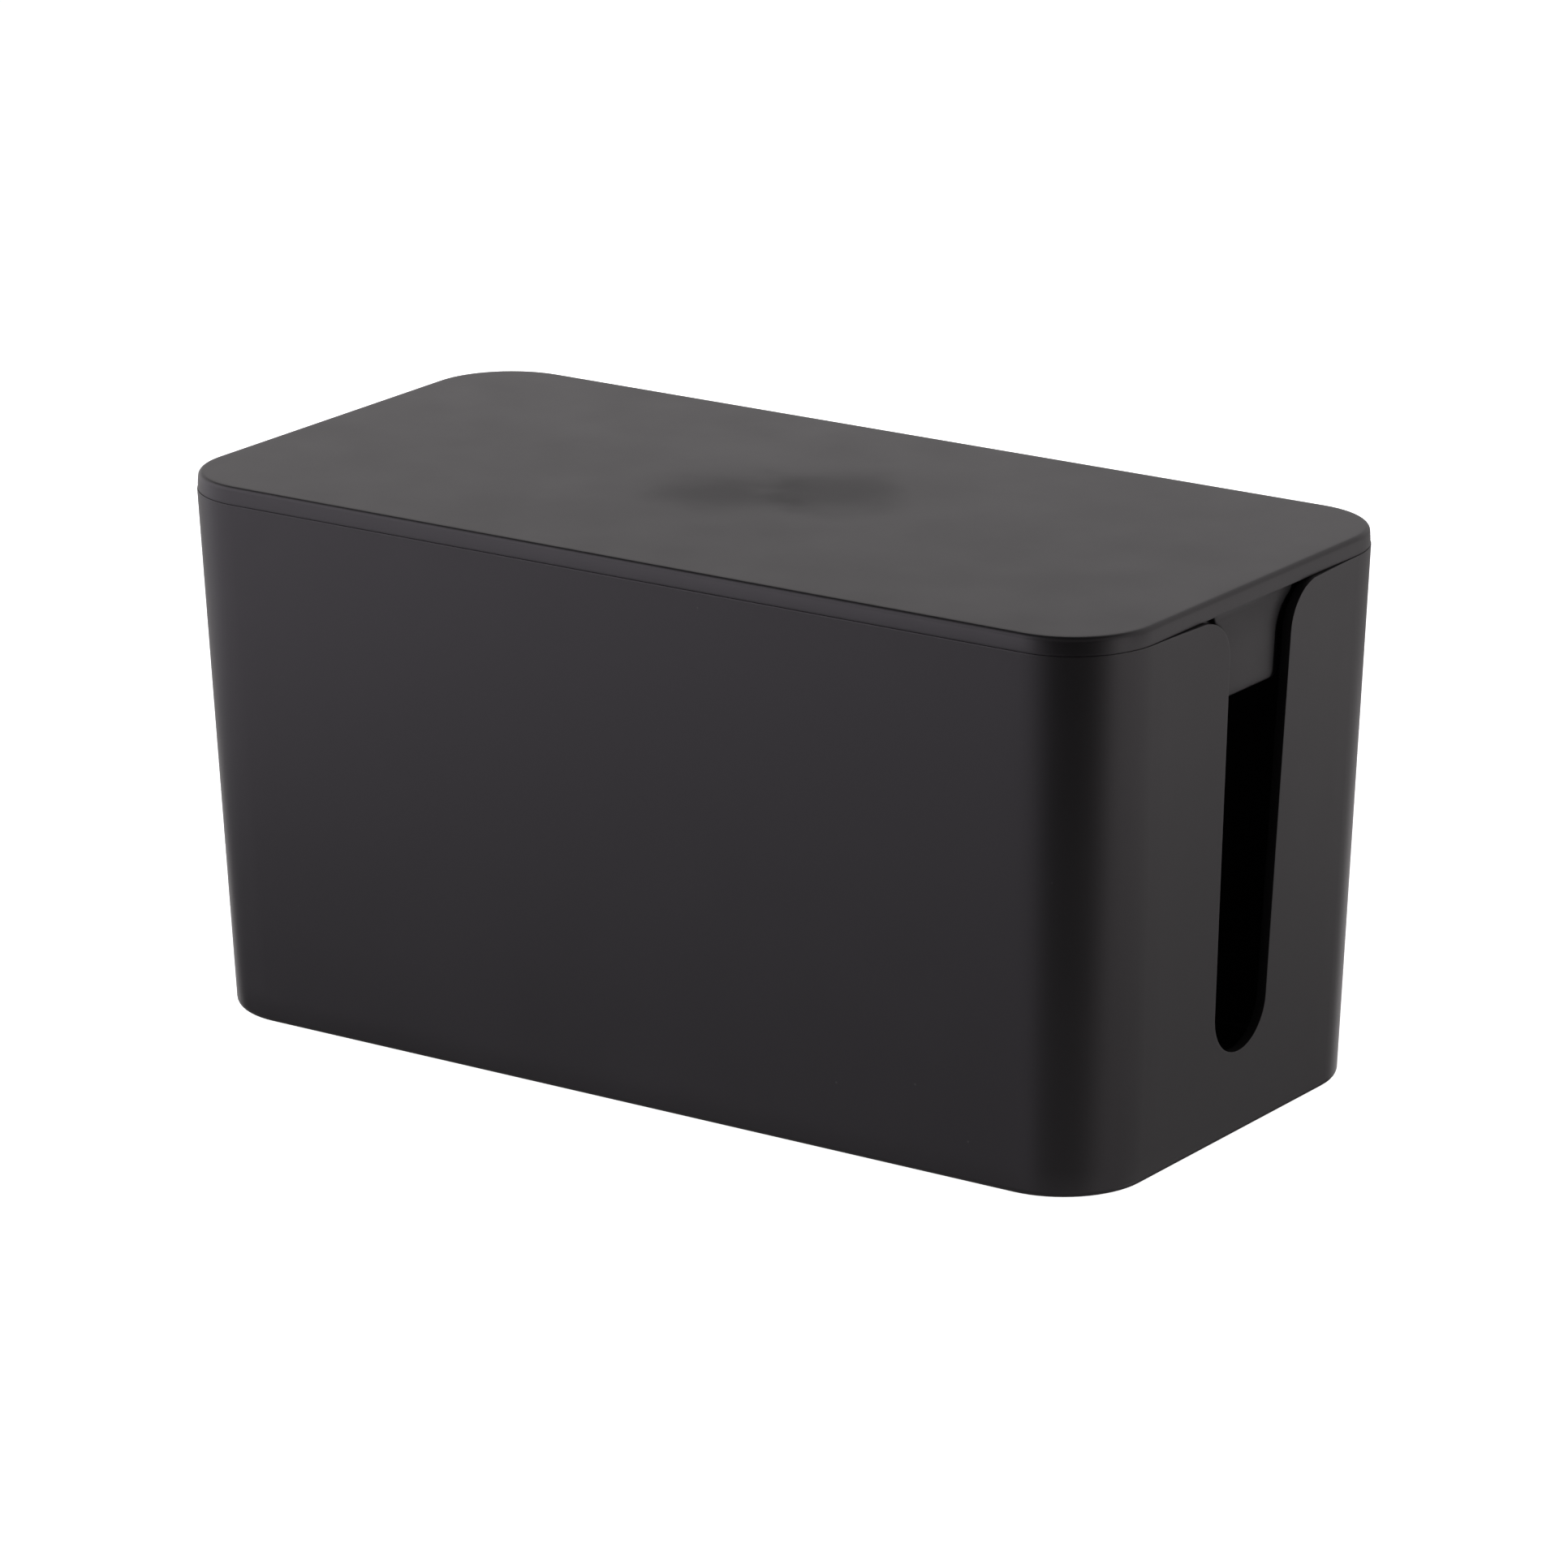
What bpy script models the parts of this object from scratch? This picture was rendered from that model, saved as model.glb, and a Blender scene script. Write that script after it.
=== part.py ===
"""Desk cable box: a tapered bucket with a cable slot in each end wall, a lift-off lid and four rubber feet.

Frame: origin on the desk under the centre of the box, +X along its length, +Z up. Units are metres.
"""

import math

import bmesh
import bpy

# Driving dimensions
FOOT_DROP = 0.0012  # how far the feet hold the box off the desk
RIM_LENGTH, RIM_WIDTH, RIM_CORNER = 0.2350, 0.1156, 0.0190
BASE_LENGTH, BASE_WIDTH, BASE_CORNER = 0.2264, 0.1084, 0.0188
BODY_HEIGHT = 0.1143  # underside to rim
WALL, FLOOR = 0.0021, 0.0024
BASE_FILLET, INNER_FILLET = 0.0015, 0.0012

# The slots leave the top of each end wall free to bow outwards
END_BOW, BOW_POWER, BOW_HALF_SPAN = 0.0015, 1.36, 0.0440

# Cable slot, heights from the underside
SLOT_ARC_RADIUS, SLOT_ARC_HEIGHT = 0.0098, 0.0283
SLOT_TOP_HALF_WIDTH = 0.0116
FLARE_RADIUS, FLARE_HEIGHT = 0.0093, 0.1049
FLARE_SWEEP = math.radians(78)

# Lid
LID_GAP = 0.0003  # parting gap between rim and band
LID_RISE = 0.0040  # rim to the lid's top face
LID_INSET, LID_DRAFT, LID_EDGE_RADIUS = 0.00014, 0.00030, 0.0012
LID_PLATE = 0.0020
SKIRT_INSET, SKIRT_WALL, SKIRT_DEPTH = 0.00255, 0.0015, 0.0045

# The lid's end tabs, heights from the underside of the box
TAB_BOTTOM, TAB_CORNER, TAB_DEPTH = 0.0959, 0.0010, 0.00105
TAB_BOTTOM_HALF_WIDTH, TAB_TOP_HALF_WIDTH = 0.0086, 0.0090
TAB_FLARE_RADIUS, TAB_FLARE_HEIGHT = 0.0090, 0.1046
FLANGE_BOTTOM, FLANGE_CORNER, FLANGE_HALF_WIDTH = 0.0950, 0.0030, 0.01385

# Feet
FOOT_RADIUS, FOOT_THICKNESS, FOOT_RECESS = 0.0060, 0.0015, 0.0006
FOOT_X, FOOT_Y = 0.0930, 0.0350
TOUCH_GAP = 0.0003

# Mesh fineness
CORNER_STEPS, END_STEPS, ARC_STEPS, WALL_STEPS, FILLET_STEPS = 10, 16, 12, 6, 3
FOOT_SIDES = 40

# Colour, roughness
BOX_PLASTIC = ((0.024, 0.023, 0.024, 1.0), 0.42)
FOOT_RUBBER = ((0.012, 0.012, 0.012, 1.0), 0.85)


def clear_scene():
    for obj in list(bpy.data.objects):
        bpy.data.objects.remove(obj, do_unlink=True)


def plastic(name, colour, roughness):
    material = bpy.data.materials.new(name)
    material.use_nodes = True
    shader = material.node_tree.nodes["Principled BSDF"]
    shader.inputs["Base Color"].default_value = colour
    shader.inputs["Roughness"].default_value = roughness
    shader.inputs["Metallic"].default_value = 0.0
    return material


def mix(low, high, share):
    return low + (high - low) * share


def wall_size(height):
    """Length, width and corner radius of the outer wall at a height above the underside."""
    share = height / BODY_HEIGHT
    length = mix(BASE_LENGTH, RIM_LENGTH, share)
    width = mix(BASE_WIDTH, RIM_WIDTH, share)
    return length, width, mix(BASE_CORNER, RIM_CORNER, share)


def wall_x(height, inset):
    """X of the flat end wall, measured inwards by inset, at a height above the underside."""
    return wall_size(height)[0] / 2 - inset


def rounded_outline(length, width, radius):
    """Points of a rounded rectangle, counter-clockwise, with extra points along the two ends."""
    half_x, half_y = length / 2, width / 2
    end_y = half_y - radius
    points = []
    for step in range(END_STEPS):
        points.append((half_x, mix(-end_y, end_y, step / END_STEPS)))
    for centre_x, first_angle in ((half_x - radius, 0.0), (radius - half_x, math.pi / 2)):
        for step in range(CORNER_STEPS + 1):
            angle = first_angle + math.pi / 2 * step / CORNER_STEPS
            points.append((centre_x + radius * math.cos(angle), end_y + radius * math.sin(angle)))
    for step in range(1, END_STEPS):
        points.append((-half_x, mix(end_y, -end_y, step / END_STEPS)))
    for centre_x, first_angle in ((radius - half_x, math.pi), (half_x - radius, 1.5 * math.pi)):
        for step in range(CORNER_STEPS + 1):
            angle = first_angle + math.pi / 2 * step / CORNER_STEPS
            if centre_x > 0 and step == CORNER_STEPS:
                continue
            points.append((centre_x + radius * math.cos(angle), -end_y + radius * math.sin(angle)))
    return points


def bowed(point, height):
    """Moves an outline point of the box along X by the bow of its end wall."""
    x, y = point
    across = (1 + math.cos(math.pi * min(abs(y) / BOW_HALF_SPAN, 1.0))) / 2
    bow = END_BOW * (height / BODY_HEIGHT) ** BOW_POWER * across
    return x + math.copysign(bow, x), y


def body_ring(height, inset, wall_height=None):
    """One level of the box wall; wall_height keeps the outline of another level, as in a fillet."""
    level = height if wall_height is None else wall_height
    length, width, radius = wall_size(level)
    outline = rounded_outline(length - 2 * inset, width - 2 * inset, radius - inset)
    return [(*bowed(point, level), FOOT_DROP + height) for point in outline]


def lid_ring(height, inset):
    """One level of the lid, inset from the rim's outline; height is above the rim."""
    outline = rounded_outline(RIM_LENGTH - 2 * inset, RIM_WIDTH - 2 * inset, RIM_CORNER - inset)
    return [(x, y, FOOT_DROP + BODY_HEIGHT + height) for x, y in outline]


def new_object(name, mesh_builder, material=None):
    """An object whose mesh comes from a bmesh, with its faces turned outwards."""
    mesh = bpy.data.meshes.new(name)
    bmesh.ops.recalc_face_normals(mesh_builder, faces=mesh_builder.faces)
    mesh_builder.to_mesh(mesh)
    mesh_builder.free()
    obj = bpy.data.objects.new(name, mesh)
    bpy.context.scene.collection.objects.link(obj)
    if material:
        mesh.materials.append(material)
        mesh.shade_smooth()
        mesh.set_sharp_from_angle(angle=math.radians(32))
    return obj


def lofted(rings):
    """A closed bmesh skin through rings of equal point count, capped at both ends."""
    shape = bmesh.new()
    loops = [[shape.verts.new(point) for point in ring] for ring in rings]
    count = len(loops[0])
    for low, high in zip(loops, loops[1:]):
        for i in range(count):
            j = (i + 1) % count
            shape.faces.new((low[i], low[j], high[j], high[i]))
    shape.faces.new(loops[0])
    shape.faces.new(loops[-1])
    return shape


def prism(outline, x_low, x_high):
    """A closed bmesh through an outline in Y and Z; x_low and x_high give X at a height."""
    shape = bmesh.new()
    near = [shape.verts.new((x_low(z), y, FOOT_DROP + z)) for y, z in outline]
    far = [shape.verts.new((x_high(z), y, FOOT_DROP + z)) for y, z in outline]
    for i in range(len(outline)):
        j = (i + 1) % len(outline)
        shape.faces.new((near[i], near[j], far[j], far[i]))
    shape.faces.new(near)
    shape.faces.new(far)
    return shape


def cut_or_join(target, tool, operation):
    """Adds a Boolean with a hidden tool object to the target."""
    tool.hide_render = True
    tool.display_type = "WIRE"
    modifier = target.modifiers.new(operation.title() + " " + tool.name, "BOOLEAN")
    modifier.operation = operation
    modifier.solver = "EXACT"
    modifier.object = tool


def arc(centre_y, centre_z, radius, start, sweep, steps):
    """Points of an arc in Y and Z; angles run counter-clockwise from +Y."""
    angles = [start + sweep * step / steps for step in range(steps + 1)]
    return [(centre_y + radius * math.cos(a), centre_z + radius * math.sin(a)) for a in angles]


def mirrored(right_side):
    """A whole outline from its +Y side, listed from bottom to top."""
    return right_side + [(-y, z) for y, z in reversed(right_side) if y > 1e-9]


def flare(half_width, height, radius, top):
    """The +Y side of a mouth that widens upwards: an arc, then its tangent up to the height top."""
    curve = arc(half_width + radius, height, radius, math.pi, -FLARE_SWEEP, ARC_STEPS)
    last_y, last_z = curve[-1]
    rise = top - last_z
    return curve + [(last_y + rise / math.tan(math.pi / 2 - FLARE_SWEEP), top)]


def slot_outline():
    """U-slot, open above the rim."""
    bottom = arc(0, SLOT_ARC_HEIGHT, SLOT_ARC_RADIUS, -math.pi / 2, math.pi / 2, ARC_STEPS)
    mouth = flare(SLOT_TOP_HALF_WIDTH, FLARE_HEIGHT, FLARE_RADIUS, BODY_HEIGHT + LID_RISE)
    return mirrored(bottom + mouth)


def tab_outline(top):
    """The part of a lid tab that fills the slot's mouth."""
    corner_y, corner_z = TAB_BOTTOM_HALF_WIDTH - TAB_CORNER, TAB_BOTTOM + TAB_CORNER
    corner = arc(corner_y, corner_z, TAB_CORNER, -math.pi / 2, math.pi / 2, FILLET_STEPS)
    side = arc(
        TAB_TOP_HALF_WIDTH + TAB_FLARE_RADIUS, TAB_FLARE_HEIGHT, TAB_FLARE_RADIUS,
        math.pi, -FLARE_SWEEP, ARC_STEPS,
    )
    return mirrored(corner + side + [(side[-1][0], top)])


def flange_outline(top):
    """The wider plate behind a lid tab, inside the box wall."""
    corner_y, corner_z = FLANGE_HALF_WIDTH - FLANGE_CORNER, FLANGE_BOTTOM + FLANGE_CORNER
    corner = arc(corner_y, corner_z, FLANGE_CORNER, -math.pi / 2, math.pi / 2, 2 * FILLET_STEPS)
    return mirrored(corner + [(FLANGE_HALF_WIDTH, top)])


def foot_places():
    """Name and position of each foot."""
    for side, y in (("front", -FOOT_Y), ("rear", FOOT_Y)):
        for end, x in (("left", -FOOT_X), ("right", FOOT_X)):
            yield f"foot_{side}_{end}", x, y


def disc(name, radius, low, high, x, y, material=None):
    """A round disc standing on height low, at x and y."""
    shape = bmesh.new()
    bmesh.ops.create_cone(
        shape, cap_ends=True, segments=FOOT_SIDES, radius1=radius, radius2=radius, depth=high - low
    )
    obj = new_object(name, shape, material)
    obj.location = (x, y, (low + high) / 2)
    return obj


def make_body(material):
    rings = []
    for step in range(FILLET_STEPS):
        angle = math.pi / 2 * step / FILLET_STEPS
        rings.append(body_ring(BASE_FILLET * (1 - math.cos(angle)), BASE_FILLET * (1 - math.sin(angle))))
    for step in range(WALL_STEPS + 1):
        rings.append(body_ring(mix(BASE_FILLET, BODY_HEIGHT, step / WALL_STEPS), 0.0))
    for step in range(WALL_STEPS + 1):
        rings.append(body_ring(mix(BODY_HEIGHT, FLOOR + INNER_FILLET, step / WALL_STEPS), WALL))
    for step in range(1, FILLET_STEPS + 1):
        angle = math.pi / 2 * step / FILLET_STEPS
        height = FLOOR + INNER_FILLET * (1 - math.sin(angle))
        rings.append(body_ring(height, WALL + INNER_FILLET * (1 - math.cos(angle)), FLOOR + INNER_FILLET))
    body = new_object("box_body", lofted(rings), material)
    reach = RIM_LENGTH
    slots = new_object("slot_cutter", prism(slot_outline(), lambda z: -reach, lambda z: reach))
    cut_or_join(body, slots, "DIFFERENCE")
    for name, x, y in foot_places():
        top = FOOT_DROP + FOOT_RECESS
        recess = disc(name + "_recess", FOOT_RADIUS + TOUCH_GAP, -FOOT_DROP, top, x, y)
        cut_or_join(body, recess, "DIFFERENCE")
    return body


def make_lid(material):
    rings = [lid_ring(LID_RISE, LID_INSET + LID_DRAFT + LID_EDGE_RADIUS)]
    for step in range(1, FILLET_STEPS + 1):
        angle = math.pi / 2 * step / FILLET_STEPS
        height = LID_RISE - LID_EDGE_RADIUS * (1 - math.cos(angle))
        rings.append(lid_ring(height, LID_INSET + LID_DRAFT + LID_EDGE_RADIUS * (1 - math.sin(angle))))
    skirt_inner = SKIRT_INSET + SKIRT_WALL
    rings.append(lid_ring(LID_GAP, LID_INSET))
    rings.append(lid_ring(LID_GAP, SKIRT_INSET))
    rings.append(lid_ring(-SKIRT_DEPTH, SKIRT_INSET))
    rings.append(lid_ring(-SKIRT_DEPTH, skirt_inner))
    rings.append(lid_ring(LID_RISE - LID_PLATE, skirt_inner))
    lid = new_object("lid", lofted(rings), material)
    inside_band = BODY_HEIGHT + LID_GAP + LID_PLATE / 2
    for end, sign in (("right", 1), ("left", -1)):
        tab = prism(
            tab_outline(inside_band),
            lambda z: sign * wall_x(min(z, BODY_HEIGHT), TAB_DEPTH),
            lambda z: sign * wall_x(min(z, BODY_HEIGHT), SKIRT_INSET + SKIRT_WALL / 2),
        )
        cut_or_join(lid, new_object(f"tab_{end}", tab), "UNION")
        flange = prism(
            flange_outline(inside_band),
            lambda z: sign * wall_x(min(z, BODY_HEIGHT), SKIRT_INSET),
            lambda z: sign * wall_x(min(z, BODY_HEIGHT), skirt_inner),
        )
        cut_or_join(lid, new_object(f"flange_{end}", flange), "UNION")
    return lid


def main():
    clear_scene()
    box_plastic = plastic("box_plastic", *BOX_PLASTIC)
    foot_rubber = plastic("foot_rubber", *FOOT_RUBBER)
    make_body(box_plastic)
    lid_joint = bpy.data.objects.new("lid_joint", None)
    lid_joint.location = (0, 0, FOOT_DROP + BODY_HEIGHT)
    bpy.context.scene.collection.objects.link(lid_joint)
    lid = make_lid(box_plastic)
    lid.parent = lid_joint
    lid.matrix_parent_inverse.translation = -lid_joint.location
    for name, x, y in foot_places():
        disc(name, FOOT_RADIUS, 0.0, FOOT_THICKNESS, x, y, foot_rubber)


main()
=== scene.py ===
import math

import bmesh
import bpy
from mathutils import Matrix, Vector
from mathutils.geometry import delaunay_2d_cdt


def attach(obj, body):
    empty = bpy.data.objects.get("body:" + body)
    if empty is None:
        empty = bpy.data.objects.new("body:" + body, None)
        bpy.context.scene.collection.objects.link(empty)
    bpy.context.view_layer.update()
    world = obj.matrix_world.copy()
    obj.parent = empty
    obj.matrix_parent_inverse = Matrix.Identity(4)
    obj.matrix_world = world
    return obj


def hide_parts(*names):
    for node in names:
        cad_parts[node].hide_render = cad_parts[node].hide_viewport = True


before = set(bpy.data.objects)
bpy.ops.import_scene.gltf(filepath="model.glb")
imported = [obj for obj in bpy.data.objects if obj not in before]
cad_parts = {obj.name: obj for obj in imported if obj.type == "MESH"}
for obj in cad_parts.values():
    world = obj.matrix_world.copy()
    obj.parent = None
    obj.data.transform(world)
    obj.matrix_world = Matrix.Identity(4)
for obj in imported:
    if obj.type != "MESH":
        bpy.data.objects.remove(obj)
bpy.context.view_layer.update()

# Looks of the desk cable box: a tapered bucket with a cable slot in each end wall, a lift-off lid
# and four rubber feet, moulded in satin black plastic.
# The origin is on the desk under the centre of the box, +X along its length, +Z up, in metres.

# Box, heights from its underside
FOOT_DROP = 0.0012
RIM_LENGTH, RIM_WIDTH, RIM_CORNER = 0.2350, 0.1156, 0.0190
BASE_LENGTH, BASE_WIDTH, BASE_CORNER = 0.2264, 0.1084, 0.0188
BODY_HEIGHT = 0.1143
WALL, FLOOR = 0.0021, 0.0024
BASE_FILLET, INNER_FILLET = 0.0015, 0.0012
# Outward bow of each end wall: its size at the rim, its growth with height, half its span
END_BOW, BOW_POWER, BOW_HALF_SPAN = 0.0015, 1.36, 0.0440
RIM_LIFT = 0.00026  # of the rim away from the slots

# Cable slot
SLOT_ARC_RADIUS, SLOT_ARC_HEIGHT = 0.0098, 0.0283
SLOT_TOP_HALF_WIDTH = 0.0116
FLARE_RADIUS, FLARE_HEIGHT = 0.0093, 0.1049
FLARE_SWEEP = math.radians(78)

# Lid, heights above the rim
LID_GAP, LID_RISE = 0.0003, 0.0040
LID_INSET, LID_EDGE_RADIUS = 0.00014, 0.0011
BAND_LEAN = math.radians(5)  # at the top of the band
LID_PLATE = 0.0020
SKIRT_INSET, SKIRT_WALL, SKIRT_DEPTH = 0.00255, 0.0015, 0.0045

# Lid tabs, heights from the underside of the box
TAB_BOTTOM, TAB_CORNER, TAB_DEPTH = 0.0959, 0.0018, 0.00105
TAB_BOTTOM_HALF_WIDTH, TAB_TOP_HALF_WIDTH = 0.0090, 0.0093
TAB_FLARE_RADIUS, TAB_FLARE_HEIGHT = 0.0090, 0.1046
TAB_FLARE_SWEEP, TAB_SHOULDER_LEAN = math.radians(62), math.radians(30)
FLANGE_BOTTOM, FLANGE_CORNER, FLANGE_HALF_WIDTH = 0.0950, 0.0030, 0.01385

# Feet
FOOT_RADIUS, FOOT_THICKNESS, FOOT_RECESS = 0.0060, 0.0015, 0.0006
FOOT_EDGE_RADIUS = 0.00035
# The face underneath, from the edge to the middle: share of the radius, and height
FOOT_DISH = ((0.90, 0.0), (0.80, 0.0), (0.78, 0.00004), (0.72, 0.00010), (0.40, 0.00012))
FOOT_X, FOOT_Y = 0.0930, 0.0350
RECESS_GAP = 0.0003

# Moulded edge radii
RIM_EDGE_RADIUS, LID_FINE_RADIUS, TAB_EDGE_RADIUS = 0.00005, 0.00005, 0.00050
RECESS_EDGE_RADIUS = 0.00015

# Mesh fineness
CORNER_STEPS, SIDE_STEPS, END_STEPS = 16, 36, 20
STRAIGHT_STEPS, LOW_STEPS, FLARE_STEPS = 18, 6, 12
# Rows of an end panel, from the slot's edge out, and of a flat face, from its outline in
PANEL_SHARES = (0.0, 0.015, 0.05, 0.12, 0.25, 0.42, 0.6, 0.8, 1.0)
FILL_SHARES = (1.0, 0.985, 0.94, 0.86, 0.76, 0.65, 0.54, 0.43, 0.32, 0.21, 0.1, 0.0)
ROUND_STEPS, LID_ROUND_STEPS, BAND_STEPS = 4, 10, 6
BASE_STEPS, INNER_STEPS = 6, 5
SKIRT_ROUND_STEPS, TAB_CORNER_STEPS, FLANGE_CORNER_STEPS = 2, 6, 10
FOOT_SIDES, FOOT_EDGE_STEPS, RECESS_STEPS = 64, 5, 3
FOOT_TOP_SHARES, RECESS_SHARES = (0.5, 0.97, 1.0), (1.0, 0.9, 0.4)
MERGE_DISTANCE, FILL_EPSILON = 1e-6, 1e-9
INSIDE_OUTLINE = 1  # asks delaunay_2d_cdt for the triangles inside the outline
SHARP_ANGLE = math.radians(40)


def mix(low, high, share):
    return low + (high - low) * share


def steps(count):
    """Shares from 0 to 1 in equal steps."""
    return [i / count for i in range(count + 1)]


# ---- Shape of the walls ----
#
# A place on a rounded rectangle is (share_x, share_y, normal_x, normal_y): where its corner-centre
# rectangle is touched, from -1 to 1 along each axis, and the direction outwards from there.


def rectangle_point(place, size, inset):
    """X and Y of a place on a rounded rectangle (length, width, radius), moved inwards by inset."""
    share_x, share_y, normal_x, normal_y = place
    length, width, radius = size
    x = share_x * (length / 2 - radius) + normal_x * (radius - inset)
    y = share_y * (width / 2 - radius) + normal_y * (radius - inset)
    return x, y


def wall_size(height):
    share = height / BODY_HEIGHT
    length = mix(BASE_LENGTH, RIM_LENGTH, share)
    width = mix(BASE_WIDTH, RIM_WIDTH, share)
    return length, width, mix(BASE_CORNER, RIM_CORNER, share)


def wall_point(place, height, inset, level=None):
    """Point of the box wall; level takes the outline of another height, as in a fillet."""
    level = height if level is None else level
    x, y = rectangle_point(place, wall_size(level), inset)
    across = (1 + math.cos(math.pi * min(abs(y) / BOW_HALF_SPAN, 1.0))) / 2
    bow = END_BOW * (max(level, 0.0) / BODY_HEIGHT) ** BOW_POWER * across
    lift = RIM_LIFT * (1 - across) * height / BODY_HEIGHT
    return Vector((x + math.copysign(bow, x), y, FOOT_DROP + height + lift))


def lid_point(place, height, inset):
    """Point of the lid; height is above the rim."""
    x, y = rectangle_point(place, (RIM_LENGTH, RIM_WIDTH, RIM_CORNER), inset)
    return Vector((x, y, FOOT_DROP + BODY_HEIGHT + height))


def end_places(sign):
    """Across one end, counter-clockwise."""
    return [(sign, sign * mix(-1, 1, share), sign, 0.0) for share in steps(END_STEPS)]


def half_places(sign):
    """From the +Y corner of the +X end (sign 1) or its opposite, along a side to the other end."""
    places = []
    for angle_share in steps(CORNER_STEPS):
        angle = math.pi / 2 * angle_share
        places.append((sign, sign, sign * math.cos(angle), sign * math.sin(angle)))
    for share in steps(SIDE_STEPS)[1:-1]:
        places.append((sign * mix(1, -1, share), sign, 0.0, sign))
    for angle_share in steps(CORNER_STEPS):
        angle = math.pi / 2 * (1 + angle_share)
        places.append((-sign, sign, sign * math.cos(angle), sign * math.sin(angle)))
    return places


def ring_places():
    """All round, counter-clockwise, with no place twice."""
    return end_places(1) + half_places(1)[1:] + end_places(-1)[1:] + half_places(-1)[1:-1]


def arc(centre_y, centre_z, radius, start, sweep, count):
    """Points of an arc in Y and Z; angles run counter-clockwise from +Y."""
    return [
        (
            centre_y + radius * math.cos(start + sweep * share),
            centre_z + radius * math.sin(start + sweep * share),
        )
        for share in steps(count)
    ]


def slot_side(offset):
    """The +Y side of the slot's edge, rim first, moved into the wall by offset: Y and height."""
    radius = FLARE_RADIUS - offset
    curve = arc(
        SLOT_TOP_HALF_WIDTH + FLARE_RADIUS, FLARE_HEIGHT, radius,
        math.pi - FLARE_SWEEP, FLARE_SWEEP, FLARE_STEPS,
    )
    first_y, first_z = curve[0]
    top = BODY_HEIGHT - offset
    points = [(first_y + (top - first_z) * math.tan(FLARE_SWEEP), top)] + curve
    low = (SLOT_ARC_RADIUS + offset, SLOT_ARC_HEIGHT)
    for share in steps(STRAIGHT_STEPS)[1:]:
        points.append((mix(curve[-1][0], low[0], share), mix(curve[-1][1], low[1], share)))
    return points


def slot_edge(offset):
    """The whole edge of a slot, from the -Y end of its mouth to the +Y end."""
    side = slot_side(offset)
    bottom = arc(
        0.0, SLOT_ARC_HEIGHT, SLOT_ARC_RADIUS + offset, math.pi, math.pi, 2 * LOW_STEPS + END_STEPS
    )
    return [(-y, z) for y, z in side] + bottom[1:-1] + side[::-1]


def panel_border(low, offset):
    """The border of an end panel, point for point with slot_edge: share of Y and height."""
    levels = [z for _, z in slot_side(offset)]
    levels += [mix(SLOT_ARC_HEIGHT, low, share) for share in steps(LOW_STEPS)[1:]]
    bottom = [(mix(-1, 1, share), low) for share in steps(END_STEPS)[1:-1]]
    return [(-1.0, z) for z in levels] + bottom + [(1.0, z) for z in levels[::-1]]


def panel_rows(sign, low, offset, edge_offset):
    """Rows of (place, height) from the slot's edge out to the border of an end panel.

    edge_offset moves the slot's edge and the rim; offset sets the levels of the border below.
    """
    edge = []
    for y, z in slot_edge(edge_offset):
        _, width, radius = wall_size(z)
        edge.append((y / (width / 2 - radius), z))
    border = panel_border(low, offset)
    rim = BODY_HEIGHT - edge_offset
    border[0], border[-1] = (-1.0, rim), (1.0, rim)
    rows = []
    for share in PANEL_SHARES:
        row = []
        for (edge_y, edge_z), (border_y, border_z) in zip(edge, border):
            place = (sign, sign * mix(edge_y, border_y, share), sign, 0.0)
            row.append((place, mix(edge_z, border_z, share)))
        rows.append(row)
    return rows


# ---- Mesh building ----


def add_rows(shape, rows, closed=False):
    """Quads between rows of points with equal counts."""
    loops = [[shape.verts.new(point) for point in row] for row in rows]
    count = len(loops[0])
    for low, high in zip(loops, loops[1:]):
        for i in range(count if closed else count - 1):
            j = (i + 1) % count
            shape.faces.new((low[i], low[j], high[j], high[i]))


def smooth(mesh):
    mesh.shade_smooth()
    mesh.set_sharp_from_angle(angle=SHARP_ANGLE)


def finish_shape(name, shape, material, body=None, replaced=()):
    """Merges the seams, turns the faces outwards and makes the object; with a body, a piece."""
    bmesh.ops.remove_doubles(shape, verts=shape.verts, dist=MERGE_DISTANCE)
    bmesh.ops.dissolve_degenerate(shape, edges=shape.edges, dist=MERGE_DISTANCE)
    bmesh.ops.recalc_face_normals(shape, faces=shape.faces)
    mesh = bpy.data.meshes.new(name)
    shape.to_mesh(mesh)
    shape.free()
    mesh.materials.append(material)
    smooth(mesh)
    obj = bpy.data.objects.new(name, mesh)
    bpy.context.scene.collection.objects.link(obj)
    if body:
        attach(obj, body)
        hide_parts(*replaced)
    return obj


def quarter(count):
    """(1 - cos, 1 - sin) pairs over a quarter turn from (0, 1) to (1, 0)."""
    angles = [math.pi / 2 * share for share in steps(count)]
    return [(1 - math.cos(angle), 1 - math.sin(angle)) for angle in angles]


def foot_places():
    for side, y in (("front", -FOOT_Y), ("rear", FOOT_Y)):
        for end, x in (("left", -FOOT_X), ("right", FOOT_X)):
            yield f"foot_{side}_{end}", x, y


def circle(x, y, z, radius):
    points = []
    for i in range(FOOT_SIDES):
        angle = 2 * math.pi * i / FOOT_SIDES
        points.append(Vector((x + radius * math.cos(angle), y + radius * math.sin(angle), z)))
    return points


def filled_rows(point_at, shares):
    """Rows that close a rounded rectangle down to the line through its corner centres."""
    outer = [point_at(place) for place in ring_places()]
    rows = []
    for share in shares:
        row = []
        for place, point in zip(ring_places(), outer):
            centre = Vector((place[0] * (RIM_LENGTH - RIM_WIDTH) / 2, 0.0, point.z))
            row.append(centre.lerp(point, share))
        rows.append(row)
    return rows


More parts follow.
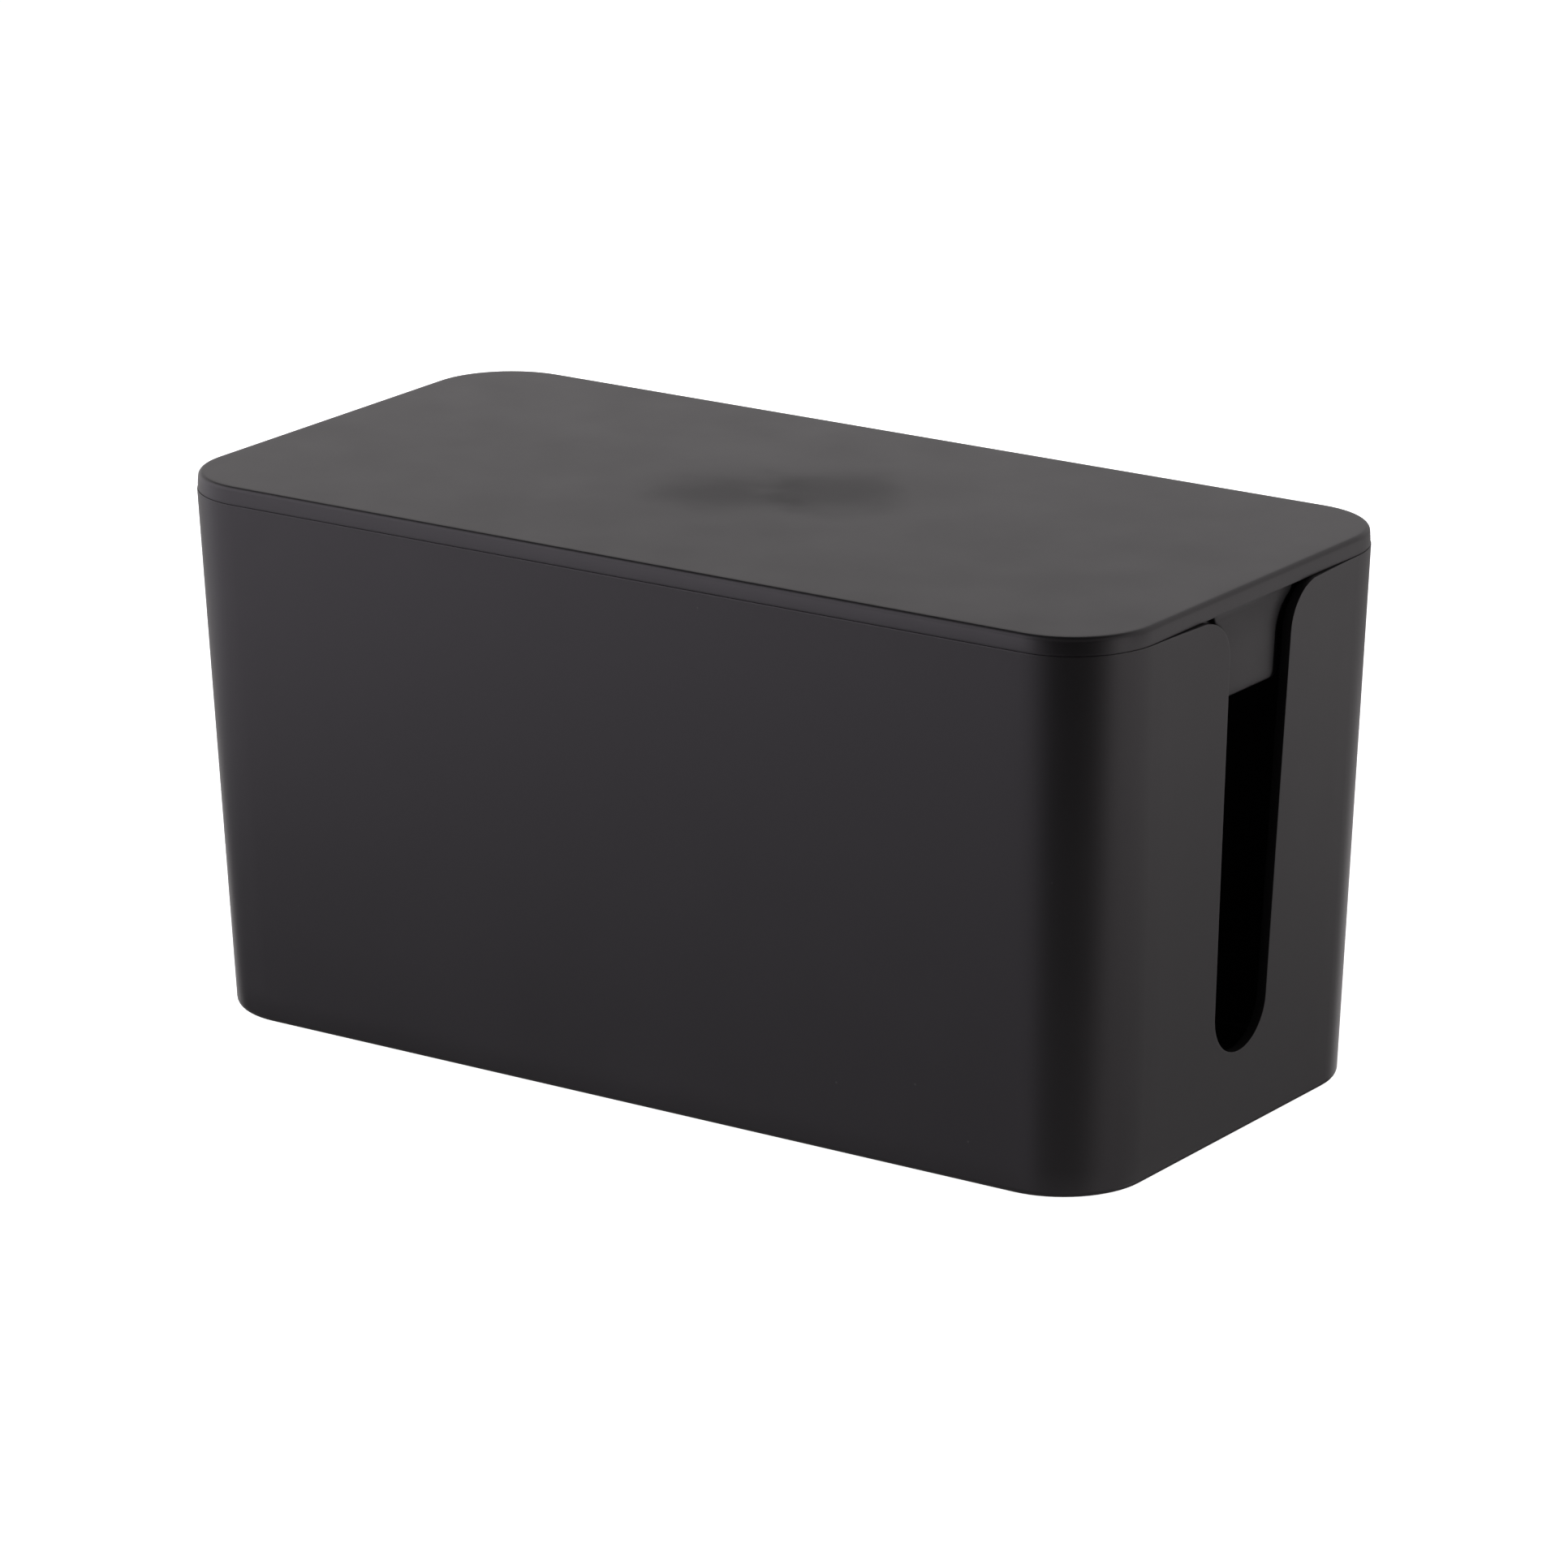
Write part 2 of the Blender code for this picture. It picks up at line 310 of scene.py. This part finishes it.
def add_underside(shape):
    """The flat underside, open at the foot recesses."""
    outline = [wall_point(place, 0.0, BASE_FILLET) for place in ring_places()]
    loops = [outline]
    for _, x, y in foot_places():
        loops.append(circle(x, y, FOOT_DROP, FOOT_RADIUS + RECESS_GAP + RECESS_EDGE_RADIUS))
    points, edges = [], []
    for loop in loops:
        first = len(points)
        points += [Vector((point.x, point.y)) for point in loop]
        edges += [(first + i, first + (i + 1) % len(loop)) for i in range(len(loop))]
    flat, _, faces, *_ = delaunay_2d_cdt(points, edges, [], INSIDE_OUTLINE, FILL_EPSILON)
    verts = [shape.verts.new((point.x, point.y, FOOT_DROP)) for point in flat]
    reach = FOOT_RADIUS + RECESS_GAP + RECESS_EDGE_RADIUS + MERGE_DISTANCE
    centres = [Vector((x, y)) for _, x, y in foot_places()]
    for face in faces:
        in_recess = any(all((flat[i] - centre).length < reach for i in face) for centre in centres)
        if not in_recess:
            shape.faces.new([verts[i] for i in face])
    for _, x, y in foot_places():
        rows = []
        for low, side in quarter(RECESS_STEPS)[::-1]:
            radius = FOOT_RADIUS + RECESS_GAP + RECESS_EDGE_RADIUS * low
            rows.append(circle(x, y, FOOT_DROP + RECESS_EDGE_RADIUS * side, radius))
        top = FOOT_DROP + FOOT_RECESS
        for share in RECESS_SHARES:
            rows.append(circle(x, y, top, (FOOT_RADIUS + RECESS_GAP) * share))
        add_rows(shape, rows, closed=True)
        shape.faces.new([shape.verts.new(point) for point in rows[-1]])


def make_box(material):
    shape = bmesh.new()
    edge = RIM_EDGE_RADIUS
    low_out, low_in = BASE_FILLET, FLOOR + INNER_FILLET
    for inset, low in ((0.0, low_out), (WALL, low_in)):
        for sign in (1, -1):
            rows = panel_rows(sign, low, edge, edge)
            add_rows(shape, [[wall_point(*spot, inset) for spot in row] for row in rows])
            sides = []
            for _, z in panel_border(low, edge)[: len(slot_side(edge)) + LOW_STEPS]:
                sides.append([wall_point(place, z, inset) for place in half_places(sign)])
            add_rows(shape, sides)

    # The rounded edge round the rim and both slots
    profile = [(edge * offset, edge * inset) for inset, offset in quarter(ROUND_STEPS)]
    profile += [(offset, WALL - inset) for offset, inset in profile[::-1]]
    rings = []
    for offset, inset in profile:
        ring = []
        for sign in (1, -1):
            rows = panel_rows(sign, low_out, edge, offset)
            ring += [wall_point(*row[0], inset) for row in rows[:0:-1]]
            ring += [wall_point(*spot, inset) for spot in rows[0]]
            ring += [wall_point(*row[-1], inset) for row in rows[1:]]
            rim = BODY_HEIGHT - offset
            ring += [wall_point(place, rim, inset) for place in half_places(sign)[1:-1]]
        rings.append(ring)
    add_rows(shape, rings, closed=True)

    # Rounded foot of the walls, inside and out, and the inside floor
    places = ring_places()
    outer_rows, inner_rows = [], []
    for rise, inset in quarter(BASE_STEPS):
        height, depth = BASE_FILLET * rise, BASE_FILLET * inset
        outer_rows.append([wall_point(place, height, depth) for place in places])
    for inset, rise in quarter(INNER_STEPS):
        height, depth = FLOOR + INNER_FILLET * rise, WALL + INNER_FILLET * inset
        inner_rows.append([wall_point(place, height, depth, low_in) for place in places])
    add_rows(shape, outer_rows, closed=True)
    add_rows(shape, inner_rows, closed=True)
    add_rows(shape, filled_rows(
        lambda place: wall_point(place, FLOOR, WALL + INNER_FILLET, low_in), FILL_SHARES
    ), closed=True)
    add_underside(shape)
    finish_shape("box_shell", shape, material, "box", ["box_body"])


def outline_prism(outline_at, edge, x_front, x_back, sign):
    """A closed bmesh through an outline in Y and height, its front edge rounded.

    outline_at(offset) lists the +Y side, bottom to top, moved inwards; x_front and x_back give X
    at a height.
    """
    shape = bmesh.new()
    rows = []
    layers = [(0.0, None)]
    layers += [(edge * offset, edge * depth) for offset, depth in quarter(ROUND_STEPS)]
    for offset, depth in layers:
        side = outline_at(offset)
        outline = side + [(-y, z) for y, z in side[::-1]]
        row = []
        for y, z in outline:
            x = x_back(z) if depth is None else x_front(z) - depth
            row.append(Vector((sign * x, y, FOOT_DROP + z)))
        rows.append(row)
    add_rows(shape, rows, closed=True)
    half = len(rows[0]) // 2
    for row in (rows[0], rows[-1]):
        add_rows(shape, [row[:half], row[: half - 1 : -1]])
    bmesh.ops.remove_doubles(shape, verts=shape.verts, dist=MERGE_DISTANCE)
    bmesh.ops.recalc_face_normals(shape, faces=shape.faces)
    return shape


def tab_side(top):
    def side(offset):
        corner = arc(
            TAB_BOTTOM_HALF_WIDTH - TAB_CORNER, TAB_BOTTOM + TAB_CORNER, TAB_CORNER - offset,
            -math.pi / 2, math.pi / 2, TAB_CORNER_STEPS,
        )
        flare = arc(
            TAB_TOP_HALF_WIDTH + TAB_FLARE_RADIUS, TAB_FLARE_HEIGHT, TAB_FLARE_RADIUS + offset,
            math.pi, -TAB_FLARE_SWEEP, FLARE_STEPS,
        )
        last_y, last_z = flare[-1]
        return corner + flare + [(last_y + (top - last_z) * math.tan(TAB_SHOULDER_LEAN), top)]
    return side


def flange_side(top):
    def side(offset):
        corner = arc(
            FLANGE_HALF_WIDTH - FLANGE_CORNER, FLANGE_BOTTOM + FLANGE_CORNER,
            FLANGE_CORNER - offset, -math.pi / 2, math.pi / 2, FLANGE_CORNER_STEPS,
        )
        return corner + [(FLANGE_HALF_WIDTH - offset, top)]
    return side


def lean_x(inset):
    """X of the end wall before its bow, moved inwards by inset."""
    return lambda z: wall_size(z)[0] / 2 - inset


def lid_profile():
    """(height, inset) pairs from the rim of the flat top, down the outside and up the inside."""
    fine = LID_FINE_RADIUS
    skirt_inner = SKIRT_INSET + SKIRT_WALL
    band_top = LID_RISE - LID_EDGE_RADIUS * (1 - math.sin(BAND_LEAN))
    band_height = band_top - LID_GAP
    band_lean = math.tan(BAND_LEAN) * band_height / 2
    edge_centre = LID_INSET + band_lean + LID_EDGE_RADIUS * math.cos(BAND_LEAN)
    profile = []
    for share in steps(LID_ROUND_STEPS):
        angle = mix(math.pi / 2, BAND_LEAN, share)
        height = LID_RISE - LID_EDGE_RADIUS * (1 - math.sin(angle))
        profile.append((height, edge_centre - LID_EDGE_RADIUS * math.cos(angle)))
    for share in steps(BAND_STEPS)[1:]:
        height = mix(band_top, LID_GAP + fine, share)
        curve = ((height - LID_GAP) / band_height) ** 2
        profile.append((height, LID_INSET + band_lean * curve))
    for inset, low in quarter(ROUND_STEPS)[1:]:
        profile.append((LID_GAP + fine * low, LID_INSET + fine * inset))
    profile.append((LID_GAP, SKIRT_INSET))
    for inset, low in quarter(SKIRT_ROUND_STEPS):
        profile.append((-SKIRT_DEPTH + fine * low, SKIRT_INSET + fine * inset))
    for low, inset in quarter(SKIRT_ROUND_STEPS):
        profile.append((-SKIRT_DEPTH + fine * low, skirt_inner - fine * inset))
    profile.append((LID_RISE - LID_PLATE, skirt_inner))
    return profile


def join(target, tools):
    """Unites the tools with the target's mesh and removes them."""
    for tool in tools:
        modifier = target.modifiers.new(tool.name, "BOOLEAN")
        modifier.operation, modifier.solver, modifier.object = "UNION", "EXACT", tool
    depsgraph = bpy.context.evaluated_depsgraph_get()
    joined = bpy.data.meshes.new_from_object(target.evaluated_get(depsgraph))
    joined.name = target.name + "_mesh"
    target.modifiers.clear()
    target.data = joined
    for tool in tools:
        bpy.data.objects.remove(tool, do_unlink=True)
    smooth(joined)


def make_lid(material):
    shape = bmesh.new()
    profile = lid_profile()
    rows = [[lid_point(place, z, inset) for place in ring_places()] for z, inset in profile]
    add_rows(shape, rows, closed=True)
    for z, inset in (profile[0], profile[-1]):
        add_rows(
            shape, filled_rows(lambda place: lid_point(place, z, inset), FILL_SHARES), closed=True
        )
    lid = finish_shape("lid_cover", shape, material)

    inside_band = BODY_HEIGHT + LID_GAP + LID_PLATE / 2
    tools = []
    for end, sign in (("right", 1), ("left", -1)):
        tab = outline_prism(
            tab_side(inside_band), TAB_EDGE_RADIUS,
            lean_x(TAB_DEPTH), lean_x(SKIRT_INSET + SKIRT_WALL / 2), sign,
        )
        flange = outline_prism(
            flange_side(inside_band), TAB_EDGE_RADIUS,
            lean_x(SKIRT_INSET), lean_x(SKIRT_INSET + SKIRT_WALL), sign,
        )
        tools.append(finish_shape(f"tab_{end}", tab, material))
        tools.append(finish_shape(f"flange_{end}", flange, material))
    join(lid, tools)
    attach(lid, "lid")
    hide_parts("lid")


def make_foot(name, x, y, material):
    """A flat rubber disc with a rounded lower edge and a faint moulding dish underneath."""
    shape = bmesh.new()
    edge = FOOT_EDGE_RADIUS
    rows = [circle(x, y, FOOT_THICKNESS, FOOT_RADIUS * share) for share in FOOT_TOP_SHARES]
    for inset, low in quarter(FOOT_EDGE_STEPS):
        rows.append(circle(x, y, edge * low, FOOT_RADIUS - edge * inset))
    rows += [circle(x, y, height, FOOT_RADIUS * share) for share, height in FOOT_DISH]
    add_rows(shape, rows, closed=True)
    for row in (rows[0], rows[-1]):
        shape.faces.new([shape.verts.new(point) for point in row])
    finish_shape(name + "_pad", shape, material, "box", [name])


# ---- Materials ----


class Nodes:
    """Adds shader nodes and links them."""

    def __init__(self, name):
        self.material = bpy.data.materials.new(name)
        self.material.use_nodes = True
        self.tree = self.material.node_tree
        self.shader = self.tree.nodes["Principled BSDF"]

    def add(self, kind, inputs=None, **settings):
        node = self.tree.nodes.new(kind)
        for key, value in settings.items():
            setattr(node, key, value)
        for key, value in (inputs or {}).items():
            if isinstance(value, bpy.types.NodeSocket):
                self.tree.links.new(value, node.inputs[key])
            else:
                node.inputs[key].default_value = value
        return node

    def link(self, output, target):
        self.tree.links.new(output, target)

    def noise(self, vector, scale, detail=2.0, roughness=0.5):
        """The value of a noise texture over the object, in cycles a metre."""
        node = self.add("ShaderNodeTexNoise", {
            "Vector": vector, "Scale": scale, "Detail": detail, "Roughness": roughness,
        })
        return node.outputs["Fac"]

    def remap(self, value, old_range, new_range, interpolation="LINEAR"):
        node = self.add("ShaderNodeMapRange", {
            "Value": value, "From Min": old_range[0], "From Max": old_range[1],
            "To Min": new_range[0], "To Max": new_range[1],
        }, interpolation_type=interpolation)
        return node.outputs["Result"]

    def maths(self, operation, first, second):
        node = self.add("ShaderNodeMath", operation=operation)
        for index, value in enumerate((first, second)):
            if isinstance(value, bpy.types.NodeSocket):
                self.link(value, node.inputs[index])
            else:
                node.inputs[index].default_value = value
        return node.outputs["Value"]


NOISE_RANGE = (0.3, 0.7)  # where most of a noise's values lie

PLASTIC_IOR, PLASTIC_TINT = 1.5, (1.0, 0.955, 0.99, 1.0)
PLASTIC_DARK, PLASTIC_LIGHT = (0.0058, 0.0054, 0.0060, 1.0), (0.0082, 0.0077, 0.0084, 1.0)
PLASTIC_ROUGHNESS, ROUGHNESS_SPREAD = 0.42, 0.012
FLOW_SCALE, PATCH_SCALE = 9.0, 60.0
GRAIN_SCALE, GRAIN_DEPTH, GRAIN_STRENGTH = 2600.0, 0.000012, 0.35
WAVE_SCALE, WAVE_DEPTH, WAVE_STRENGTH = 34.0, 0.00003, 0.5

# Dust: a speck in one cell in five, its outer and inner radius in cells
DUST_SCALE, DUST_BARE_SHARE, DUST_RADII = 95.0, 0.80, (0.028, 0.018)
DUST_COLOUR, DUST_COVER = (0.12, 0.11, 0.12, 1.0), 0.25

# Dull spots round the two places on the lid's top face where the plastic was fed in
LID_TOP = FOOT_DROP + BODY_HEIGHT + LID_RISE
GATES = ((-0.0115, -0.0030), (0.0085, 0.0100))
GATE_REACH, GATE_ROUGHNESS, GATE_WARP = 0.024, 0.078, 0.006

RUBBER_DARK, RUBBER_LIGHT = (0.010, 0.010, 0.010, 1.0), (0.026, 0.026, 0.025, 1.0)
RUBBER_ROUGHNESS = (0.72, 0.92)
BLOOM_SCALE, BLOOM_RANGE = 320.0, (0.35, 0.7)
WEAR_SCALE = 900.0
PEBBLE_SCALE, PEBBLE_DEPTH, PEBBLE_STRENGTH = 2600.0, 0.00004, 0.6


def plastic(name, gates=()):
    """Satin moulded plastic: spark grain, flow waves, faint dust and dull spots at the gates."""
    nodes = Nodes(name)
    where = nodes.add("ShaderNodeTexCoord").outputs["Object"]
    shader = nodes.shader
    shader.inputs["IOR"].default_value = PLASTIC_IOR
    shader.inputs["Specular Tint"].default_value = PLASTIC_TINT

    flow = nodes.noise(where, FLOW_SCALE, detail=3.0)
    tone = nodes.add("ShaderNodeMix", {
        "Factor": nodes.remap(flow, NOISE_RANGE, (0.0, 1.0)),
        "A": PLASTIC_DARK, "B": PLASTIC_LIGHT,
    }, data_type="RGBA")
    cells = nodes.add("ShaderNodeTexVoronoi", {"Vector": where, "Scale": DUST_SCALE}, feature="F1")
    speck = nodes.remap(cells.outputs["Distance"], DUST_RADII, (0.0, 1.0))
    chance = nodes.add("ShaderNodeSeparateColor", {"Color": cells.outputs["Color"]})
    dusty = nodes.maths("GREATER_THAN", chance.outputs["Red"], DUST_BARE_SHARE)
    speck = nodes.maths("MULTIPLY", speck, dusty)
    dusted = nodes.add("ShaderNodeMix", {
        "Factor": nodes.maths("MULTIPLY", speck, DUST_COVER),
        "A": tone.outputs["Result"], "B": DUST_COLOUR,
    }, data_type="RGBA")
    nodes.link(dusted.outputs["Result"], shader.inputs["Base Color"])

    patches = nodes.noise(where, PATCH_SCALE, detail=4.0)
    spread = (PLASTIC_ROUGHNESS - ROUGHNESS_SPREAD, PLASTIC_ROUGHNESS + ROUGHNESS_SPREAD)
    roughness = nodes.remap(patches, NOISE_RANGE, spread)
    for x, y in gates:
        away = nodes.add(
            "ShaderNodeVectorMath", {0: where, 1: (x, y, LID_TOP)}, operation="DISTANCE"
        )
        warp = nodes.remap(patches, NOISE_RANGE, (-GATE_WARP, GATE_WARP))
        warped = nodes.maths("ADD", away.outputs["Value"], warp)
        dull = nodes.remap(warped, (GATE_REACH, 0.0), (0.0, GATE_ROUGHNESS), "SMOOTHERSTEP")
        roughness = nodes.maths("ADD", roughness, dull)
    nodes.link(roughness, shader.inputs["Roughness"])

    grain = nodes.add("ShaderNodeBump", {
        "Height": nodes.noise(where, GRAIN_SCALE), "Strength": GRAIN_STRENGTH,
        "Distance": GRAIN_DEPTH,
    })
    waves = nodes.add("ShaderNodeBump", {
        "Height": nodes.noise(where, WAVE_SCALE, detail=1.0), "Strength": WAVE_STRENGTH,
        "Distance": WAVE_DEPTH, "Normal": grain.outputs["Normal"],
    })
    nodes.link(waves.outputs["Normal"], shader.inputs["Normal"])
    return nodes.material


def rubber(name):
    """Matt rubber with a soft bloom and a pebbled skin."""
    nodes = Nodes(name)
    where = nodes.add("ShaderNodeTexCoord").outputs["Object"]
    bloom = nodes.noise(where, BLOOM_SCALE, detail=4.0)
    tone = nodes.add("ShaderNodeMix", {
        "Factor": nodes.remap(bloom, BLOOM_RANGE, (0.0, 1.0)),
        "A": RUBBER_DARK, "B": RUBBER_LIGHT,
    }, data_type="RGBA")
    nodes.link(tone.outputs["Result"], nodes.shader.inputs["Base Color"])
    wear = nodes.remap(nodes.noise(where, WEAR_SCALE), NOISE_RANGE, RUBBER_ROUGHNESS)
    nodes.link(wear, nodes.shader.inputs["Roughness"])
    skin = nodes.add("ShaderNodeBump", {
        "Height": nodes.noise(where, PEBBLE_SCALE, detail=3.0), "Strength": PEBBLE_STRENGTH,
        "Distance": PEBBLE_DEPTH,
    })
    nodes.link(skin.outputs["Normal"], nodes.shader.inputs["Normal"])
    return nodes.material


# ---- Studio ----

FLOOR_HALF, FLOOR_COLOUR, FLOOR_ROUGHNESS = 6.0, (0.8, 0.8, 0.8, 1.0), 0.9
DOME_RADIUS = 7.0
WHITE, BLACK = (1.0, 1.0, 1.0, 1.0), (0.0, 0.0, 0.0, 1.0)

CARD_DISTANCE, CARD_FACET = 0.70, 24.0
COOL_WHITE, WARM_WHITE = (1.01, 0.975, 1.05), (1.012, 0.98, 0.985)
COOL_SPAN = (-90.0, 0.0)  # azimuths between which a card is cool
# Upright cards: name, azimuth and sweep in degrees, lowest and highest, radiance
CARDS = (
    ("left_floor", -90.0, 144.0, -0.60, -0.32, 0.27),
    ("left_front", -54.0, 72.0, -0.14, 0.30, 1.25),
    ("left_front_high", -54.0, 72.0, 0.30, 1.10, 1.72),
    ("left_front_strip", -48.0, 12.0, -0.14, 0.0, 1.02),
    ("left_rear_low", -126.0, 72.0, -0.14, 0.0, 0.67),
    ("left_rear", -126.0, 72.0, 0.0, 0.30, 1.10),
    ("left_rear_high", -126.0, 72.0, 0.30, 0.55, 0.66),
    ("front_floor", 78.0, 144.0, -0.60, -0.32, 0.74),
    ("front_strip", -6.0, 24.0, -0.60, 0.0, 0.69),
    ("front", -18.0, 24.0, 0.0, 0.14, 2.39),
    ("front_high", 30.0, 84.0, 0.30, 1.10, 0.20),
    ("right_strip", 78.0, 24.0, -0.60, 0.0, 0.32),
    ("right_edge", 90.0, 16.0, 0.0, 0.34, 1.50),
    ("right_low", 102.0, 48.0, -0.14, 0.0, 1.80),
    ("right_high", 138.0, 120.0, 0.14, 1.10, 0.69),
    ("rear_right_floor", 144.0, 12.0, -0.32, -0.14, 0.43),
    ("rear_right", 138.0, 24.0, -0.14, 0.14, 1.07),
    ("rear", 174.0, 48.0, -0.14, 0.14, 0.43),
    ("rear_floor", -150.0, 96.0, -0.32, -0.14, 1.15),
)
# One flat card under the table top, for the underside
LOW_CARD_DEPTH, LOW_CARD_SIZE, LOW_CARD_RADIANCE = 0.62, 1.30, 0.22


def only_for_camera(obj):
    obj.visible_diffuse = False
    obj.visible_glossy = False
    obj.visible_transmission = False
    obj.visible_shadow = False


def make_floor():
    """A pale table top, seen only from above."""
    mesh = bpy.data.meshes.new("studio_floor")
    half = FLOOR_HALF
    corners = [(-half, -half, 0.0), (half, -half, 0.0), (half, half, 0.0), (-half, half, 0.0)]
    mesh.from_pydata(corners, [], [(0, 1, 2, 3)])
    floor = bpy.data.objects.new("studio_floor", mesh)
    bpy.context.scene.collection.objects.link(floor)
    nodes = Nodes("pale_floor")
    nodes.shader.inputs["Base Color"].default_value = FLOOR_COLOUR
    nodes.shader.inputs["Roughness"].default_value = FLOOR_ROUGHNESS
    nodes.shader.inputs["Emission Color"].default_value = WHITE
    nodes.shader.inputs["Emission Strength"].default_value = 1.0
    clear = nodes.add("ShaderNodeBsdfTransparent")
    back = nodes.add("ShaderNodeNewGeometry").outputs["Backfacing"]
    sided = nodes.add("ShaderNodeMixShader", {
        0: back, 1: nodes.shader.outputs[0], 2: clear.outputs[0],
    })
    nodes.link(sided.outputs[0], nodes.tree.nodes["Material Output"].inputs["Surface"])
    mesh.materials.append(nodes.material)
    only_for_camera(floor)


def make_dome():
    """A white surround behind everything."""
    shape = bmesh.new()
    bmesh.ops.create_uvsphere(shape, u_segments=48, v_segments=24, radius=DOME_RADIUS)
    mesh = bpy.data.meshes.new("studio_dome")
    shape.to_mesh(mesh)
    shape.free()
    dome = bpy.data.objects.new("studio_dome", mesh)
    bpy.context.scene.collection.objects.link(dome)
    nodes = Nodes("white_surround")
    nodes.shader.inputs["Base Color"].default_value = BLACK
    nodes.shader.inputs["Emission Color"].default_value = WHITE
    nodes.shader.inputs["Emission Strength"].default_value = 1.0
    mesh.materials.append(nodes.material)
    only_for_camera(dome)


def add_card(name, width, height, radiance, colour, place, outwards):
    """A soft rectangular card of an even radiance that faces away from outwards."""
    data = bpy.data.lights.new(name, "AREA")
    data.shape = "RECTANGLE"
    data.size, data.size_y = width, height
    data.energy = radiance * math.pi * width * height
    data.color = colour
    card = bpy.data.objects.new(name, data)
    card.location = place
    card.rotation_euler = outwards.to_track_quat("Z", "Y").to_euler()
    card.visible_camera = False
    bpy.context.scene.collection.objects.link(card)


def make_card(name, azimuth, sweep, low, high, radiance):
    """An upright card on a ring round the box, in flat facets.

    Azimuth 0 is in front and 90 to the right.
    """
    facets = max(1, round(sweep / CARD_FACET))
    facet = sweep / facets
    width = 2 * CARD_DISTANCE * math.tan(math.radians(facet / 2))
    height = high - low
    colour = COOL_WHITE if COOL_SPAN[0] < azimuth < COOL_SPAN[1] else WARM_WHITE
    for i in range(facets):
        angle = math.radians(azimuth - sweep / 2 + facet * (i + 0.5))
        outwards = Vector((math.sin(angle), -math.cos(angle), 0.0))
        place = outwards * CARD_DISTANCE + Vector((0.0, 0.0, (low + high) / 2))
        add_card(f"{name}_{i}", width, height, radiance, colour, place, outwards)


# Camera, which looks at a point above the origin: angles in degrees, lens in millimetres
TARGET_HEIGHT = 0.0612
CAMERA_AZIMUTH, CAMERA_ELEVATION, CAMERA_ROLL = 35.001, 17.17, -0.388
CAMERA_DISTANCE = 1.679942
LENS, SENSOR_WIDTH, SHIFT_X, SHIFT_Y = 183.78, 36.0, 0.004138, -0.012746
CLIP_START, CLIP_END = 0.05, 50.0


def make_camera():
    azimuth, elevation = math.radians(CAMERA_AZIMUTH), math.radians(CAMERA_ELEVATION)
    roll = math.radians(CAMERA_ROLL)
    back = Vector((
        math.sin(azimuth) * math.cos(elevation),
        -math.cos(azimuth) * math.cos(elevation),
        math.sin(elevation),
    ))
    right = (-back).cross(Vector((0.0, 0.0, 1.0))).normalized()
    up = right.cross(-back)
    turned_right = math.cos(roll) * right + math.sin(roll) * up
    turned_up = math.cos(roll) * up - math.sin(roll) * right
    data = bpy.data.cameras.new("camera")
    data.lens, data.sensor_width = LENS, SENSOR_WIDTH
    data.shift_x, data.shift_y = SHIFT_X, SHIFT_Y
    data.clip_start, data.clip_end = CLIP_START, CLIP_END
    camera = bpy.data.objects.new("camera", data)
    turn = Matrix((turned_right, turned_up, back)).transposed()
    place = Matrix.Translation(Vector((0.0, 0.0, TARGET_HEIGHT)) + back * CAMERA_DISTANCE)
    camera.matrix_world = place @ turn.to_4x4()
    bpy.context.scene.collection.objects.link(camera)
    bpy.context.scene.camera = camera


def make_world():
    world = bpy.data.worlds.new("studio")
    world.use_nodes = True
    world.node_tree.nodes["Background"].inputs["Color"].default_value = BLACK
    bpy.context.scene.world = world
    bpy.context.scene.view_settings.view_transform = "Standard"


make_camera()
make_world()
make_floor()
make_dome()
for card in CARDS:
    make_card(*card)
add_card(
    "below", LOW_CARD_SIZE, LOW_CARD_SIZE, LOW_CARD_RADIANCE, WARM_WHITE,
    Vector((0.0, 0.0, -LOW_CARD_DEPTH)), Vector((0.0, 0.0, -1.0)),
)
make_box(plastic("box_satin_plastic"))
make_lid(plastic("lid_satin_plastic", GATES))
foot_material = rubber("foot_matt_rubber")
for foot_name, foot_x, foot_y in foot_places():
    make_foot(foot_name, foot_x, foot_y, foot_material)
